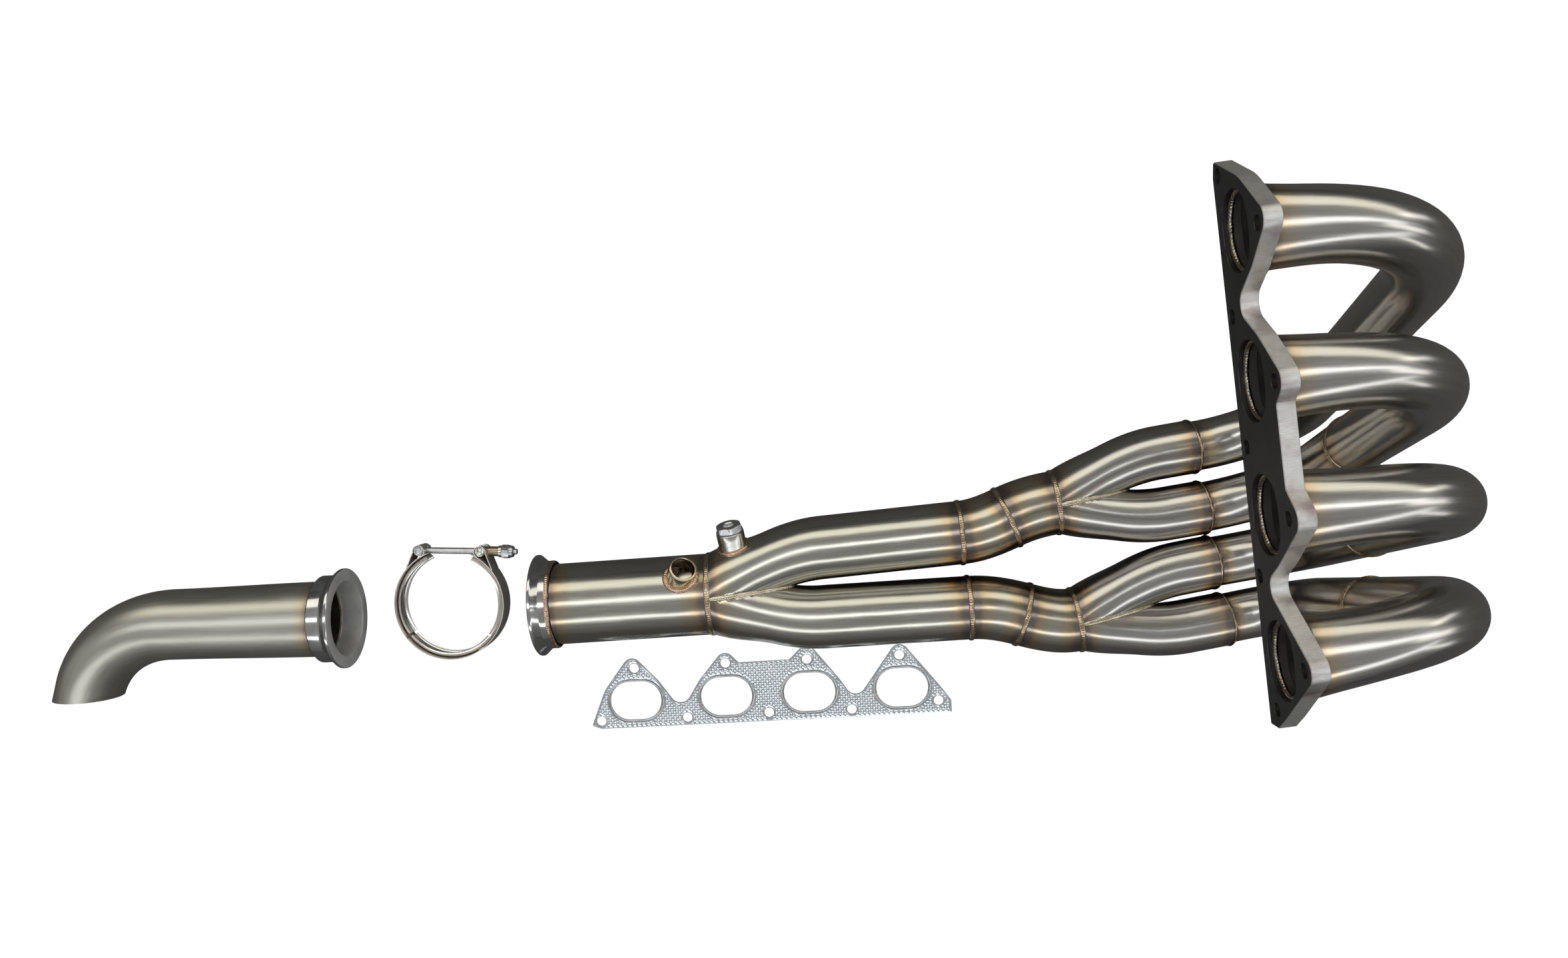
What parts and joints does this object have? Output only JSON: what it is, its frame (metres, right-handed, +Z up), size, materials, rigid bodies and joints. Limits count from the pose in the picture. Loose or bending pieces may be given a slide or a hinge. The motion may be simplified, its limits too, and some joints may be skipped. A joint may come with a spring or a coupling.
{
  "type": "racing exhaust header",
  "caption": "tuned four-into-two-into-one stainless racing exhaust header laid out with its head gasket, V-band clamp and turned-down tail tip",
  "frame": {"origin": "centre of the laid-out kit's bounding box, on the surface it lies on", "axes": "+X from the tail tip towards the primaries' lower bends, +Y across towards the first cylinder, +Z up"},
  "size_m": [1.1811, 0.4151, 0.4417],
  "materials": {
    "tube_stainless": "raw brushed stainless tube, straw and violet heat tint beside the welds",
    "blasted_flange": "dark blasted face with bright laser-cut edges",
    "machined_stainless": "turned stainless, nearly mirror bright",
    "polished_stainless": "polished stainless strip",
    "zinc_fastener": "bright zinc plate",
    "gasket_sheet": "bluish silver sheet with pressed diamond dimples",
    "fire_ring": "bright folded steel ring"
  },
  "bodies": {
    "header": {"head_flange": "blasted_flange", "runner_1_upper_bend": "tube_stainless", "runner_1_lower_bend": "tube_stainless", "runner_2_upper_bend": "tube_stainless", "runner_2_lower_bend": "tube_stainless", "runner_3_upper_bend": "tube_stainless", "runner_3_lower_bend": "tube_stainless", "runner_4_upper_bend": "tube_stainless", "runner_4_lower_bend": "tube_stainless", "merge_leg_1": "tube_stainless", "merge_leg_2": "tube_stainless", "merge_leg_3": "tube_stainless", "merge_leg_4": "tube_stainless", "secondary_12_bend_front": "tube_stainless", "secondary_12_bend_rear": "tube_stainless", "secondary_12_tube": "tube_stainless", "secondary_34_bend_front": "tube_stainless", "secondary_34_bend_rear": "tube_stainless", "secondary_34_tube": "tube_stainless", "collector_tube": "tube_stainless", "sensor_bung": "machined_stainless", "spare_bung": "machined_stainless", "spare_bung_plug": "zinc_fastener", "collector_vband_flange": "machined_stainless"},
    "tip": {"tip_vband_flange": "machined_stainless", "tip_pipe": "tube_stainless"},
    "gasket": {"gasket_sheet": "gasket_sheet", "gasket_fire_ring_1": "fire_ring", "gasket_fire_ring_2": "fire_ring", "gasket_fire_ring_3": "fire_ring", "gasket_fire_ring_4": "fire_ring"},
    "clamp_base": {"clamp_retainer_bottom": "polished_stainless", "clamp_band_bottom": "polished_stainless"},
    "clamp_left_half": {"clamp_retainer_left": "polished_stainless", "clamp_band_left": "polished_stainless"},
    "clamp_right_half": {"clamp_retainer_right": "polished_stainless", "clamp_band_right": "polished_stainless"},
    "t_bolt": {"clamp_t_bolt": "zinc_fastener"},
    "trunnion": {"clamp_trunnion": "polished_stainless"},
    "washer": {"clamp_washer": "zinc_fastener"},
    "nut": {"clamp_nut": "zinc_fastener"}
  },
  "joints": [
    {"name": "tip_clocking", "type": "hinge", "parent": "header", "child": "tip", "pos_m": [-0.293, -0.076, 0.04575], "axis": [-0.9996, 0.0297, 0], "range_deg": [0, 180]},
    {"name": "gasket_lift", "type": "slide", "parent": "header", "child": "gasket", "axis": [0, 0, 1], "range_m": [0, 0.05]},
    {"name": "clamp_lift", "type": "slide", "parent": "header", "child": "clamp_base", "axis": [0, 0, 1], "range_m": [0, 0.12]},
    {"name": "clamp_close", "type": "hinge", "parent": "clamp_base", "child": "clamp_left_half", "pos_m": [-0.24881, -0.10138, 0.0113], "axis": [0, 0, -1], "range_deg": [0, 6.5]},
    {"name": "clamp_close_right", "type": "hinge", "parent": "clamp_base", "child": "clamp_right_half", "pos_m": [-0.16761, -0.10806, 0.0113], "axis": [0, 0, 1], "range_deg": [0, 7]},
    {"name": "bolt_swing", "type": "hinge", "parent": "clamp_left_half", "child": "t_bolt", "pos_m": [-0.23054, -0.02141, 0.0113], "axis": [0, 0, 1], "range_deg": [0, 7]},
    {"name": "trunnion_turn", "type": "hinge", "parent": "clamp_right_half", "child": "trunnion", "pos_m": [-0.17257, -0.02618, 0.0113], "axis": [0, 0, -1], "range_deg": [0, 7]},
    {"name": "washer_travel", "type": "slide", "parent": "t_bolt", "child": "washer", "axis": [-0.9966, 0.0819, 0], "range_m": [0, 0.0195]},
    {"name": "nut_spin", "type": "hinge", "parent": "washer", "child": "nut", "pos_m": [-0.17257, -0.02618, 0.0113], "axis": [0.9966, -0.0819, 0], "continuous": true}
  ],
  "couplings": [
    {"joint": "clamp_close_right", "follows": "clamp_close", "ratio": 1},
    {"joint": "bolt_swing", "follows": "clamp_close", "ratio": 1},
    {"joint": "trunnion_turn", "follows": "clamp_close", "ratio": 1},
    {"joint": "washer_travel", "follows": "clamp_close", "m_per_rad": 0.1607}
  ]
}
